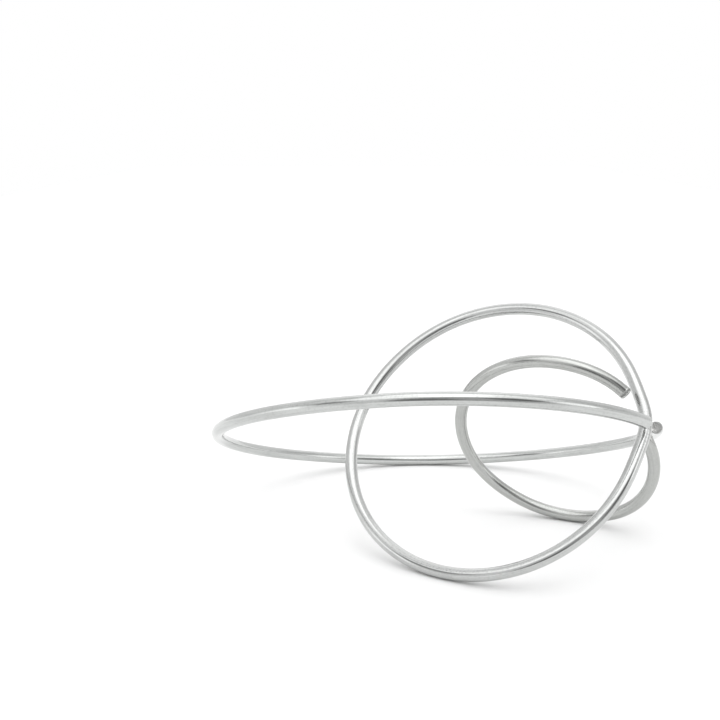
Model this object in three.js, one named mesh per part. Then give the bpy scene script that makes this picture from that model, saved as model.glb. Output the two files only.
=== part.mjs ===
// Ring disentanglement puzzle: three rings of round steel wire that meet at one junction.
// The medium ring is closed. The large and the small ring are open, with flat cut ends.
// The medium ring's wire stands in the large ring's gap, close to one of its ends.
// Millimetres, +Z up. The rings stand on z = 0, the origin under the middle of the object.

import * as THREE from 'three';

// ---- driving dimensions ----

const WIRE_DIAMETER = 2.0;
const WIRE_SIDES = 12;
const STEP_LENGTH = 1.9;

// Radii are to the middle of the wire. Every ring is laid out flat around its own centre,
// with angles counted from its level axis. Then it is tilted up from the floor about that
// axis, and the level axis is turned to its heading.

const LARGE_RING = {
  radius: 36.65,
  tilt: 24.0,
  heading: 181.4,
  x: 0.35,
  y: 0,
  startAngle: 162,
  endAngle: 501.5,
  startBend: { span: 75, outward: -1.2, sideways: -0.5 },
  endBend: { span: 70, outward: 0, sideways: -1.4 },
};

const MEDIUM_RING = {
  radius: 24.0,
  tilt: 47.5,
  heading: -32.4,
  x: 7.85,
  y: -8.45,
  peakAngle: 14,
  peakHeight: 0.75,
  peakSpread: 10.6,
};

const SMALL_RING = {
  radius: 16.95,
  tilt: 117.2,
  heading: -24.7,
  x: 19.95,
  y: -5.0,
  startAngle: 47,
  endAngle: 366.5,
  startBend: { span: 25, outward: -0.25, sideways: 0.3 },
  endBend: { span: 70, outward: -3.25, sideways: -1.75 },
};

// ---- the wire ----

const WIRE_RADIUS = WIRE_DIAMETER / 2;
const { degToRad } = THREE.MathUtils;

function stepsFor(length) {
  return Math.round(length / STEP_LENGTH);
}

// Corners of the wire's section. A flat side faces along flatAngle.
function sectionCorners(flatAngle) {
  const side = (2 * Math.PI) / WIRE_SIDES;
  const corners = [];
  for (let i = 0; i < WIRE_SIDES; i += 1) {
    const angle = flatAngle + side * (i + 0.5);
    corners.push(new THREE.Vector2(Math.cos(angle), Math.sin(angle)).multiplyScalar(WIRE_RADIUS));
  }
  return corners;
}

// The middle line of an open ring. Towards a cut end the wire runs straighter than the arc,
// so that it leaves the circle little by little over the bend's span.
class OpenRingPath extends THREE.Curve {
  constructor(ring) {
    super();
    this.ring = ring;
  }

  static amount(bend, angleFromEnd) {
    const share = Math.max(0, 1 - angleFromEnd / bend.span);
    return share * share;
  }

  getPoint(t, target = new THREE.Vector3()) {
    const { radius, startAngle, endAngle, startBend, endBend } = this.ring;
    const angle = THREE.MathUtils.lerp(startAngle, endAngle, t);
    const atStart = OpenRingPath.amount(startBend, angle - startAngle);
    const atEnd = OpenRingPath.amount(endBend, endAngle - angle);
    const reach = radius + atStart * startBend.outward + atEnd * endBend.outward;
    const side = atStart * startBend.sideways + atEnd * endBend.sideways;
    return target.set(
      reach * Math.cos(degToRad(angle)),
      reach * Math.sin(degToRad(angle)),
      side,
    );
  }
}

function openRingGeometry(ring) {
  const path = new OpenRingPath(ring);
  return new THREE.ExtrudeGeometry(new THREE.Shape(sectionCorners(0)), {
    extrudePath: path,
    steps: stepsFor(path.getLength()),
    bevelEnabled: false,
  });
}

// A closed ring, turned from its section. One flat of the wire faces the floor at the lowest
// place, and the ring comes to a slight peak where its ends were joined.
function closedRingGeometry(ring) {
  const steps = stepsFor(2 * Math.PI * ring.radius);
  const downAngle = degToRad(ring.tilt - 90);
  const profile = sectionCorners(downAngle).map((corner) => corner.setX(corner.x + ring.radius));
  profile.push(profile[0].clone());
  const geometry = new THREE.LatheGeometry(profile, steps, Math.PI / steps);
  geometry.rotateX(Math.PI / 2);
  raisePeak(geometry.attributes.position, ring);
  return geometry;
}

function raisePeak(position, ring) {
  const point = new THREE.Vector2();
  for (let i = 0; i < position.count; i += 1) {
    point.set(position.getX(i), position.getY(i));
    const fromPeak = THREE.MathUtils.radToDeg(point.angle()) - ring.peakAngle;
    const turns = Math.round(fromPeak / 360);
    const nearness = (fromPeak - 360 * turns) / ring.peakSpread;
    point.setLength(point.length() + ring.peakHeight * Math.exp(-nearness * nearness));
    position.setXY(i, point.x, point.y);
  }
}

// ---- the rings in place ----

function steel(color, roughness) {
  return new THREE.MeshStandardMaterial({ color, roughness, metalness: 1 });
}

function placeRing(name, geometry, ring, material) {
  const mesh = new THREE.Mesh(geometry, material);
  mesh.name = name;
  mesh.rotation.set(degToRad(ring.tilt), 0, degToRad(ring.heading), 'ZXY');
  mesh.position.set(ring.x, ring.y, 0);
  mesh.updateMatrixWorld(true);
  mesh.position.z = -new THREE.Box3().setFromObject(mesh, true).min.z;
  return mesh;
}

const puzzle = new THREE.Group();
puzzle.name = 'ring_puzzle';
puzzle.add(
  placeRing('large_ring', openRingGeometry(LARGE_RING), LARGE_RING, steel(0xc6c7c6, 0.3)),
  placeRing('medium_ring', closedRingGeometry(MEDIUM_RING), MEDIUM_RING, steel(0xcccdcc, 0.26)),
  placeRing('small_ring', openRingGeometry(SMALL_RING), SMALL_RING, steel(0xbfc0be, 0.32)),
);

export default puzzle;
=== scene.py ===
"""Looks of the ring puzzle: three rings of drawn steel wire that meet at one junction.

Each CAD ring is replaced by a finer wire on the same middle line, with the marks that
drawing, bending and cutting leave on it. The wires' lengths are in millimetres until a mesh
is made. The floor and the camera are in metres.
"""

import math

import bpy
import numpy as np
from mathutils import Matrix, Vector, noise


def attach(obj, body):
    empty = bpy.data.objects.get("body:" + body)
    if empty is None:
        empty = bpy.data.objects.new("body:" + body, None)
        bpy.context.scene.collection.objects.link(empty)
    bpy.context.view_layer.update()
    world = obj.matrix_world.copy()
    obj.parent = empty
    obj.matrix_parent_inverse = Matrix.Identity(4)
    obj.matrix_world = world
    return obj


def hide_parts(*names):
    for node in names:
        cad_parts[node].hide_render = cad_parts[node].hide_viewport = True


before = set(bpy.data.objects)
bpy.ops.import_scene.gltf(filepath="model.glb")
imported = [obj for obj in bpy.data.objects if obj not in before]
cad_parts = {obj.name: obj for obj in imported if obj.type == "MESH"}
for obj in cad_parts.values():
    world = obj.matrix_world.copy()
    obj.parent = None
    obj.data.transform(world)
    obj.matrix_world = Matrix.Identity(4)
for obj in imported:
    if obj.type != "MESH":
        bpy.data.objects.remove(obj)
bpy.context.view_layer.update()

MM = 0.001

# ---- driving dimensions, the same as in the CAD ----

WIRE_RADIUS = 1.0

RINGS = {
    "large_ring": {
        "radius": 36.65,
        "tilt": 24.0,
        "heading": 181.4,
        "place": (0.35, 0.0),
        "start": 162.0,
        "end": 501.5,
        "start_bend": {"span": 75.0, "outward": -1.2, "sideways": -0.5},
        "end_bend": {"span": 70.0, "outward": 0.0, "sideways": -1.4},
    },
    "medium_ring": {
        "radius": 24.0,
        "tilt": 47.5,
        "heading": -32.4,
        "place": (7.85, -8.45),
        "peak": {"angle": 14.0, "height": 0.75, "spread": 10.6},
    },
    "small_ring": {
        "radius": 16.95,
        "tilt": 117.2,
        "heading": -24.7,
        "place": (19.95, -5.0),
        "start": 47.0,
        "end": 366.5,
        "start_bend": {"span": 25.0, "outward": -0.25, "sideways": 0.3},
        "end_bend": {"span": 70.0, "outward": -3.25, "sideways": -1.75},
    },
}

# ---- how fine the meshes are, and how far a hand-bent wire strays ----

SECTION_SIDES = 48
STEP = 0.42
WANDER = 0.035  # of the middle line, each way
WANDER_WAVES = range(3, 9)
OVAL = 0.012  # share of the radius that bending flattens the section by

# A cut end from the side of the wire to the middle of its face: each entry is a distance
# inwards from the end's plane and a share of the wire's radius.
END_EDGE = ((0.16, 1.0), (0.08, 0.992), (0.03, 0.97), (0.005, 0.93))
END_FACE = (0.86, 0.74, 0.62, 0.50, 0.38, 0.26, 0.13)
FACE_ROUGHNESS = {"height": 0.03, "scale": 3.2, "fade": 0.7, "spacing": 2.1, "octaves": 4}
DISH = {"depth": 0.13, "reach": 0.45, "offset": 0.3}
LIP = {"height": 0.07, "half_width": 38.0, "edge_power": 6}

# The join of the closed ring, along the wire on either side of it.
JOIN_STEPS = (0.04, 0.10, 0.18, 0.30)
JOIN_DEPTH = 0.035
JOIN_HALF_WIDTH = 0.12


def unit(vectors):
    return vectors / np.linalg.norm(vectors, axis=-1, keepdims=True)


def bend_amount(bend, from_end):
    return np.clip(1.0 - from_end / bend["span"], 0.0, 1.0) ** 2


def middle_line(ring, angle):
    """The wire's middle line at these angles, in the ring's own flat frame."""
    reach = np.full_like(angle, ring["radius"])
    side = np.zeros_like(angle)
    if "peak" in ring:
        peak = ring["peak"]
        from_peak = (angle - peak["angle"] + 180.0) % 360.0 - 180.0
        reach += peak["height"] * np.exp(-((from_peak / peak["spread"]) ** 2))
    else:
        for bend, from_end in (
            (ring["start_bend"], angle - ring["start"]),
            (ring["end_bend"], ring["end"] - angle),
        ):
            reach += bend_amount(bend, from_end) * bend["outward"]
            side += bend_amount(bend, from_end) * bend["sideways"]
    turn = np.radians(angle)
    return np.stack([reach * np.cos(turn), reach * np.sin(turn), side], axis=1)


def wander(angle, rng):
    """Small slow waves across and along the ring's plane, as hand bending leaves."""
    turn = np.radians(angle)
    out, side = np.zeros_like(turn), np.zeros_like(turn)
    for wave in WANDER_WAVES:
        size = WANDER / math.sqrt(len(WANDER_WAVES)) * WANDER_WAVES[0] / wave
        out += size * np.sin(wave * turn + rng.uniform(0, 2 * math.pi))
        side += size * np.sin(wave * turn + rng.uniform(0, 2 * math.pi))
    return np.stack([out * np.cos(turn), out * np.sin(turn), side], axis=1)


def ring_angles(ring):
    """Angles of the wire's sections, STEP apart, and closer at a closed ring's join."""
    if "peak" not in ring:
        span = ring["end"] - ring["start"]
        count = round(math.radians(span) * ring["radius"] / STEP)
        return np.linspace(ring["start"], ring["end"], count + 1)
    join = ring["peak"]["angle"]
    near = np.degrees(np.array(JOIN_STEPS) / ring["radius"])
    count = round(2 * math.pi * ring["radius"] / STEP)
    rest = np.linspace(near[-1], 360.0 - near[-1], count)[1:-1]
    return join + np.concatenate([[0.0], near, rest, 360.0 - near[::-1]])


def placing(ring):
    """Turns the ring from its flat frame to its tilt and heading, without its height."""
    tilted = Matrix.Rotation(math.radians(ring["tilt"]), 3, "X")
    return np.array(Matrix.Rotation(math.radians(ring["heading"]), 3, "Z") @ tilted)


class WireMesh:
    """Collects a wire's vertices, quads and coordinates along and round the wire."""

    def __init__(self, line, normal, closed):
        self.closed = closed
        if closed:
            tangent = unit(np.roll(line, -1, axis=0) - np.roll(line, 1, axis=0))
            steps = np.linalg.norm(np.roll(line, -1, axis=0) - line, axis=1)
        else:
            tangent = unit(np.gradient(line, axis=0))
            steps = np.linalg.norm(np.diff(line, axis=0), axis=1)
        across = unit(normal - (tangent @ normal)[:, None] * tangent)
        self.line = line
        self.tangent = tangent
        self.outward = np.cross(tangent, across)
        self.across = across
        self.along = np.concatenate([[0.0], np.cumsum(steps)])
        self.round = np.arange(SECTION_SIDES) * 2 * math.pi / SECTION_SIDES
        self.points = []
        self.faces = []  # each is (corner indices, wire coordinates per corner, is cut)

    def section(self, i, radius, shift):
        """One ring of points round section i, moved along the wire by shift."""
        cos, sin = np.cos(self.round), np.sin(self.round)
        rim = (radius * cos)[:, None] * self.outward[i]
        rim = rim + (radius * sin)[:, None] * self.across[i]
        rim = rim + np.broadcast_to(shift, cos.shape)[:, None] * self.tangent[i]
        first = len(self.points)
        self.points.extend(self.line[i] + rim)
        return first

    def coordinate(self, corner, radius, along):
        turn = self.round[corner % SECTION_SIDES]
        return (radius * math.cos(turn), radius * math.sin(turn), along)

    def band(self, a, b, along_a, along_b, radius_a=1.0, radius_b=1.0, cut=0.0):
        """Quads between the rings of points that start at a and b."""
        for k in range(SECTION_SIDES):
            n = (k + 1) % SECTION_SIDES
            corners = (a + k, a + n, b + n, b + k)
            places = (
                self.coordinate(k, radius_a, along_a),
                self.coordinate(n, radius_a, along_a),
                self.coordinate(n, radius_b, along_b),
                self.coordinate(k, radius_b, along_b),
            )
            self.faces.append((corners, places, cut))

    def side_radius(self, i):
        """The wire's radius round section i: slightly oval, and sunk at a join."""
        flat = 0.5 - 0.5 * np.cos(2 * self.round)
        radius = WIRE_RADIUS * (1.0 - OVAL * flat)
        if self.closed:
            from_join = min(self.along[i], self.along[-1] - self.along[i])
            radius = radius - JOIN_DEPTH * math.exp(-((from_join / JOIN_HALF_WIDTH) ** 2))
        return radius

    def sides(self):
        count = len(self.line)
        trim = 0 if self.closed else 1
        firsts = [
            self.section(i, self.side_radius(i), 0.0) for i in range(trim, count - trim)
        ]
        for j in range(len(firsts) - 1):
            i = j + trim
            self.band(firsts[j], firsts[j + 1], self.along[i], self.along[i + 1])
        if self.closed:
            self.band(firsts[-1], firsts[0], self.along[count - 1], self.along[count])
        return firsts[0], firsts[-1]

    def cut_end(self, i, side_first, facing, dish_turn, lip_turn, seed):
        """Closes an end with a blunt edge and a rough, dished face."""
        inner = i + 1 if i == 0 else i - 1
        previous, along_before = side_first, self.along[inner]
        radius_before = 1.0
        away = np.abs((np.degrees(self.round) - lip_turn + 180.0) % 360.0 - 180.0)
        lip = LIP["height"] * np.clip(1.0 - away / LIP["half_width"], 0.0, 1.0) ** 2
        for depth, share in END_EDGE:
            rise = lip * (1.0 - depth / END_EDGE[0][0])
            first = self.section(i, WIRE_RADIUS * share, facing * (rise - depth))
            along = self.along[i] - facing * depth
            self.band(previous, first, along_before, along, radius_before, share)
            previous, along_before, radius_before = first, along, share
        middle = self.face_relief(0.0, 0.0, dish_turn, seed)
        for share in END_FACE:
            relief = np.array([
                self.face_relief(
                    share * math.cos(t), share * math.sin(t), dish_turn, seed
                )
                for t in self.round
            ])
            relief = relief + lip * (share / END_EDGE[-1][1]) ** LIP["edge_power"]
            first = self.section(i, WIRE_RADIUS * share, facing * relief)
            along = self.along[i]
            self.band(previous, first, along_before, along, radius_before, share, 1.0)
            previous, along_before, radius_before = first, along, share
        centre = len(self.points)
        self.points.append(self.line[i] + facing * middle * self.tangent[i])
        for k in range(SECTION_SIDES):
            n = (k + 1) % SECTION_SIDES
            corners = (previous + k, previous + n, centre)
            places = (
                self.coordinate(k, radius_before, along_before),
                self.coordinate(n, radius_before, along_before),
                (0.0, 0.0, along_before),
            )
            self.faces.append((corners, places, 1.0))

    @staticmethod
    def face_relief(x, y, dish_turn, seed):
        """Height of a cut face at a place on it, where the wire's radius is 1."""
        turn = math.radians(dish_turn)
        dish_x = DISH["offset"] * math.cos(turn)
        dish_y = DISH["offset"] * math.sin(turn)
        off = math.hypot(x - dish_x, y - dish_y)
        dish = DISH["depth"] * math.exp(-((off / DISH["reach"]) ** 2))
        rough = FACE_ROUGHNESS
        place = Vector((rough["scale"] * x, rough["scale"] * y, seed))
        grain = noise.fractal(place, rough["fade"], rough["spacing"], rough["octaves"])
        return rough["height"] * grain - dish

    def finish(self, name, wear):
        """Makes the mesh, with its lowest point on z = 0, in metres."""
        points = np.array(self.points)
        points[:, 2] -= points[:, 2].min()
        mesh = bpy.data.meshes.new(name)
        mesh.from_pydata((points * MM).tolist(), [], [f[0] for f in self.faces])
        place = mesh.attributes.new("wire_place", "FLOAT_VECTOR", "CORNER")
        flat = [value for f in self.faces for corner in f[1] for value in corner]
        place.data.foreach_set("vector", flat)
        cut = mesh.attributes.new("cut_face", "FLOAT", "FACE")
        cut.data.foreach_set("value", [f[2] for f in self.faces])
        rub = mesh.attributes.new("rubbed", "FLOAT", "POINT")
        rub.data.foreach_set("value", wear(points).tolist())
        mesh.polygons.foreach_set("use_smooth", [True] * len(self.faces))
        mesh.validate()
        mesh.update()
        piece = bpy.data.objects.new(name, mesh)
        bpy.context.scene.collection.objects.link(piece)
        return piece


# ---- where the rings rub each other ----

JUNCTION = (30.0, -18.7, 22.2)
JUNCTION_RUB_REACH = 5.5
FLOOR_RUB_HEIGHT = 0.7
FLOOR_RUB_SHARE = 0.6


def wear_near_contacts(points):
    """1 where rings or the floor rub the wire, fading to 0 away from there."""
    from_junction = np.linalg.norm(points - np.array(JUNCTION), axis=1)
    by_rings = np.exp(-((from_junction / JUNCTION_RUB_REACH) ** 2))
    by_floor = np.clip(1.0 - points[:, 2] / FLOOR_RUB_HEIGHT, 0.0, 1.0) ** 2
    return np.maximum(by_rings, FLOOR_RUB_SHARE * by_floor)


def build_ring(node, name, seed, ends):
    """The fine wire that stands for a CAD ring. ends gives each cut face's details."""
    ring = RINGS[node]
    angles = ring_angles(ring)
    rng = np.random.default_rng(seed)
    flat_line = middle_line(ring, angles) + wander(angles, rng)
    turn = placing(ring)
    line = flat_line @ turn.T
    line[:, :2] += np.array(ring["place"])
    closed = "peak" in ring
    wire = WireMesh(line, turn[:, 2], closed)
    first, last = wire.sides()
    if not closed:
        wire.cut_end(0, first, -1.0, seed=seed, **ends[0])
        wire.cut_end(len(line) - 1, last, 1.0, seed=seed + 0.5, **ends[1])
    return wire


# ---- steel ----

class Graph:
    """A short way to add and join a material's nodes."""

    def __init__(self, tree):
        self.tree = tree

    def add(self, kind, settings=None, **inputs):
        node = self.tree.nodes.new(kind)
        for key, value in (settings or {}).items():
            setattr(node, key, value)
        for key, value in inputs.items():
            self.feed(node.inputs[key.replace("_", " ")], value)
        return node

    def feed(self, socket, value):
        if isinstance(value, bpy.types.NodeSocket):
            self.tree.links.new(value, socket)
        else:
            socket.default_value = value

    def math(self, operation, a, b):
        node = self.add("ShaderNodeMath", {"operation": operation})
        self.feed(node.inputs[0], a)
        self.feed(node.inputs[1], b)
        return node.outputs[0]

    def span(self, value, low, high, to_low=0.0, to_high=1.0):
        """Maps low..high to to_low..to_high, smoothly and clamped."""
        node = self.add(
            "ShaderNodeMapRange",
            {"interpolation_type": "SMOOTHSTEP"},
            Value=value,
            From_Min=low,
            From_Max=high,
            To_Min=to_low,
            To_Max=to_high,
        )
        return node.outputs[0]

    def mix_color(self, factor, a, b):
        node = self.add("ShaderNodeMix", {"data_type": "RGBA"})
        self.feed(node.inputs[0], factor)
        self.feed(node.inputs[6], a)
        self.feed(node.inputs[7], b)
        return node.outputs[2]

    def mix_value(self, factor, a, b):
        node = self.add("ShaderNodeMix", {"data_type": "FLOAT"})
        self.feed(node.inputs[0], factor)
        self.feed(node.inputs[2], a)
        self.feed(node.inputs[3], b)
        return node.outputs[0]

    def noise(self, place, scale, shift, detail):
        """Noise over the wire. scale is (round the wire, along the wire), per millimetre."""
        across, along = scale
        mapped = self.add(
            "ShaderNodeMapping",
            Vector=place,
            Location=(shift, 1.7 * shift, 2.3 * shift),
            Scale=(across, across, along),
        )
        node = self.add(
            "ShaderNodeTexNoise",
            Vector=mapped.outputs[0],
            Scale=1.0,
            Detail=detail,
            Roughness=0.6,
        )
        return node.outputs[0]


# The steel's noise layers. scale is (round the wire, along the wire) per millimetre, and
# shift moves each layer to another part of the noise.
LAYERS = {
    "drawn": {"scale": (5.0, 0.10), "shift": 0.0, "detail": 3.0},
    "hairlines": {"scale": (15.0, 0.35), "shift": 3.0, "detail": 2.0},
    "patches": {"scale": (0.6, 0.16), "shift": 7.0, "detail": 3.0},
    "nicks": {"scale": (0.9, 7.0), "shift": 11.0, "detail": 2.0},
    "grains": {"scale": (9.0, 9.0), "shift": 17.0, "detail": 5.0},
    "specks": {"scale": (3.2, 3.2), "shift": 23.0, "detail": 4.0},
}

GREY_IN_LINES = (0.25, 0.25, 0.25, 1.0)
GREY_IN_MARKS = (0.22, 0.22, 0.215, 1.0)
CUT_DARK = (0.30, 0.30, 0.295, 1.0)
CUT_LIGHT = (0.64, 0.64, 0.63, 1.0)
CUT_ROUGHNESS = 0.42
BUMP_STRENGTH = 0.25
BUMP_DISTANCE = 0.009


def shade(tint, share):
    """A tint made lighter or darker, as a shader colour."""
    return (*[min(1.0, share * c) for c in tint], 1.0)


def steel_colour(g, tint, layer, marks, cut):
    """Lighter and darker drawn lines, dull patches, dark hairlines, nicks and specks."""
    colour = g.mix_color(g.span(layer["drawn"], 0.36, 0.62), shade(tint, 0.93), shade(tint, 1.07))
    dull = g.span(layer["patches"], 0.45, 0.70, 0.0, 0.5)
    colour = g.mix_color(dull, colour, shade(tint, 0.86))
    hairline = g.span(layer["hairlines"], 0.60, 0.72, 0.0, 0.22)
    colour = g.mix_color(hairline, colour, GREY_IN_LINES)
    colour = g.mix_color(g.math("MULTIPLY", marks, 0.28), colour, GREY_IN_MARKS)
    speck = g.span(layer["specks"], 0.50, 0.66, 0.0, 0.20)
    colour = g.mix_color(speck, colour, GREY_IN_LINES)
    cut_colour = g.mix_color(g.span(layer["grains"], 0.38, 0.62), CUT_DARK, CUT_LIGHT)
    return g.mix_color(cut, colour, cut_colour)


def steel_roughness(g, roughness, layer, marks, cut):
    """Near the wire's own roughness, more in dull patches and in marks."""
    rough = g.span(layer["drawn"], 0.30, 0.70, roughness - 0.03, roughness + 0.04)
    rough = g.math("ADD", rough, g.span(layer["patches"], 0.40, 0.75, 0.0, 0.05))
    rough = g.math("ADD", rough, g.math("MULTIPLY", marks, 0.12))
    return g.mix_value(cut, rough, CUT_ROUGHNESS)


def steel_height(g, layer, marks, cut):
    """Raised drawn lines, sunk marks and specks, and coarse grain on the cut faces."""
    height = g.math("MULTIPLY", layer["drawn"], 0.7)
    height = g.math("ADD", height, g.math("MULTIPLY", layer["hairlines"], 0.3))
    height = g.math("SUBTRACT", height, g.math("MULTIPLY", marks, 0.5))
    height = g.math("SUBTRACT", height, g.math("MULTIPLY", layer["specks"], 0.35))
    cut_grain = g.math("MULTIPLY", layer["grains"], cut)
    return g.math("ADD", height, g.math("MULTIPLY", cut_grain, 6.0))


def steel(name, tint, roughness, seed):
    """Drawn steel wire: lines along it, faint patches, nicks across it and rough ends."""
    material = bpy.data.materials.new(name)
    material.use_nodes = True
    g = Graph(material.node_tree)
    shader = material.node_tree.nodes["Principled BSDF"]

    place = g.add("ShaderNodeAttribute", {"attribute_name": "wire_place"}).outputs["Vector"]
    cut = g.add("ShaderNodeAttribute", {"attribute_name": "cut_face"}).outputs["Fac"]
    rubbed = g.add("ShaderNodeAttribute", {"attribute_name": "rubbed"}).outputs["Fac"]
    layer = {
        key: g.noise(place, look["scale"], seed + look["shift"], look["detail"])
        for key, look in LAYERS.items()
    }

    nick = g.math("MULTIPLY", g.span(layer["nicks"], 0.66, 0.74), 0.5)
    scuff = g.math("MULTIPLY", rubbed, g.span(layer["nicks"], 0.52, 0.62))
    marks = g.math("MAXIMUM", nick, scuff)

    height = steel_height(g, layer, marks, cut)
    bump = g.add(
        "ShaderNodeBump", Strength=BUMP_STRENGTH, Distance=BUMP_DISTANCE * MM, Height=height
    )
    g.feed(shader.inputs["Base Color"], steel_colour(g, tint, layer, marks, cut))
    g.feed(shader.inputs["Roughness"], steel_roughness(g, roughness, layer, marks, cut))
    g.feed(shader.inputs["Normal"], bump.outputs[0])
    shader.inputs["Metallic"].default_value = 1.0
    return material


# ---- the three rings ----

PIECES = (
    {
        "node": "large_ring",
        "name": "large_ring_wire",
        "seed": 11,
        "tint": (0.562, 0.574, 0.565),
        "roughness": 0.12,
        "ends": (
            {"dish_turn": 200.0, "lip_turn": 40.0},
            {"dish_turn": 20.0, "lip_turn": 250.0},
        ),
    },
    {
        "node": "medium_ring",
        "name": "medium_ring_wire",
        "seed": 23,
        "tint": (0.558, 0.566, 0.560),
        "roughness": 0.11,
        "ends": (),
    },
    {
        "node": "small_ring",
        "name": "small_ring_wire",
        "seed": 37,
        "tint": (0.480, 0.488, 0.475),
        "roughness": 0.15,
        "ends": (
            {"dish_turn": 90.0, "lip_turn": 300.0},
            {"dish_turn": 310.0, "lip_turn": 120.0},
        ),
    },
)

for spec in PIECES:
    wire = build_ring(spec["node"], spec["name"], spec["seed"], spec["ends"])
    piece = wire.finish(spec["name"], wear_near_contacts)
    piece.data.materials.append(
        steel(spec["node"] + "_steel", spec["tint"], spec["roughness"], spec["seed"])
    )
    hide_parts(spec["node"])
    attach(piece, spec["node"])

# ---- floor, in metres ----

# It ends close in front of the rings and beside them, so that the wires which face outwards
# reflect the studio over its edges.
FLOOR_BACK = 1.6
FLOOR_SIDE = 0.35
FLOOR_FRONT = 0.13
FLOOR_WHITE = (0.93, 0.93, 0.93, 1.0)


def lay_floor():
    corners = [
        (-FLOOR_SIDE, -FLOOR_FRONT, 0),
        (FLOOR_SIDE, -FLOOR_FRONT, 0),
        (FLOOR_SIDE, FLOOR_BACK, 0),
        (-FLOOR_SIDE, FLOOR_BACK, 0),
    ]
    mesh = bpy.data.meshes.new("floor")
    mesh.from_pydata(corners, [], [(0, 1, 2, 3)])
    floor = bpy.data.objects.new("floor", mesh)
    bpy.context.scene.collection.objects.link(floor)
    material = bpy.data.materials.new("white_table")
    material.use_nodes = True
    shader = material.node_tree.nodes["Principled BSDF"]
    shader.inputs["Base Color"].default_value = FLOOR_WHITE
    shader.inputs["Roughness"].default_value = 0.9
    shader.inputs["Specular IOR Level"].default_value = 0.1
    mesh.materials.append(material)


lay_floor()

# ---- studio: white surroundings, softboxes, and darker patches towards the camera ----

# Azimuth 0 is towards the camera and 90 is towards +X. Each patch is round, full inside
# inner and gone outside outer, all in degrees. Later patches lie over earlier ones.
SURROUND = 0.92
PATCHES = (
    {"azimuth": 180, "elevation": 42, "inner": 8, "outer": 35, "level": 1.35},
    {"azimuth": -88, "elevation": 2, "inner": 8, "outer": 26, "level": 1.12},
    {"azimuth": 104, "elevation": 28, "inner": 6, "outer": 22, "level": 0.74},
    {"azimuth": 12, "elevation": 12, "inner": 14, "outer": 46, "level": 0.52},
    {"azimuth": -10, "elevation": 2, "inner": 9, "outer": 21, "level": 0.24},
    {"azimuth": -62, "elevation": 25, "inner": 6, "outer": 15, "level": 0.34},
    {"azimuth": 0, "elevation": 70, "inner": 14, "outer": 40, "level": 2.1},
    {"azimuth": -48, "elevation": 52, "inner": 10, "outer": 24, "level": 1.65},
    {"azimuth": 66, "elevation": 55, "inner": 8, "outer": 20, "level": 1.5},
    {"azimuth": 36, "elevation": 21, "inner": 9, "outer": 18, "level": 0.20},
    {"azimuth": 69, "elevation": 17, "inner": 9, "outer": 17, "level": 1.7},
    {"azimuth": -82, "elevation": 1, "inner": 10, "outer": 17, "level": 1.55},
)


def patch_direction(patch):
    azimuth, elevation = math.radians(patch["azimuth"]), math.radians(patch["elevation"])
    level_length = math.cos(elevation)
    return (
        math.sin(azimuth) * level_length,
        -math.cos(azimuth) * level_length,
        math.sin(elevation),
    )


def light_studio():
    """Surroundings whose brightness goes by direction. The camera itself sees plain white."""
    world = bpy.data.worlds.new("studio")
    bpy.context.scene.world = world
    world.use_nodes = True
    g = Graph(world.node_tree)
    background = world.node_tree.nodes["Background"]
    direction = g.add("ShaderNodeTexCoord").outputs["Generated"]
    level = SURROUND
    for patch in PATCHES:
        dot = g.add("ShaderNodeVectorMath", {"operation": "DOT_PRODUCT"})
        g.feed(dot.inputs[0], direction)
        g.feed(dot.inputs[1], patch_direction(patch))
        edge = math.cos(math.radians(patch["outer"]))
        core = math.cos(math.radians(patch["inner"]))
        level = g.mix_value(g.span(dot.outputs["Value"], edge, core), level, patch["level"])
    seen_directly = g.add("ShaderNodeLightPath").outputs["Is Camera Ray"]
    g.feed(background.inputs["Strength"], g.mix_value(seen_directly, level, 1.0))
    background.inputs["Color"].default_value = (1.0, 1.0, 1.0, 1.0)
    bpy.context.scene.view_settings.view_transform = "Standard"


light_studio()

# ---- camera, in metres and degrees ----

CAMERA_PLACE = (-0.01274, -0.17565, 0.06697)
CAMERA_DOWN = 12.25
CAMERA_LENS = 54.28


def set_camera():
    data = bpy.data.cameras.new("camera")
    data.sensor_width = 36.0
    data.lens = CAMERA_LENS
    data.clip_start = 0.005
    data.clip_end = 20.0
    camera = bpy.data.objects.new("camera", data)
    bpy.context.scene.collection.objects.link(camera)
    camera.location = CAMERA_PLACE
    camera.rotation_euler = (math.radians(90.0 - CAMERA_DOWN), 0.0, 0.0)
    bpy.context.scene.camera = camera


set_camera()
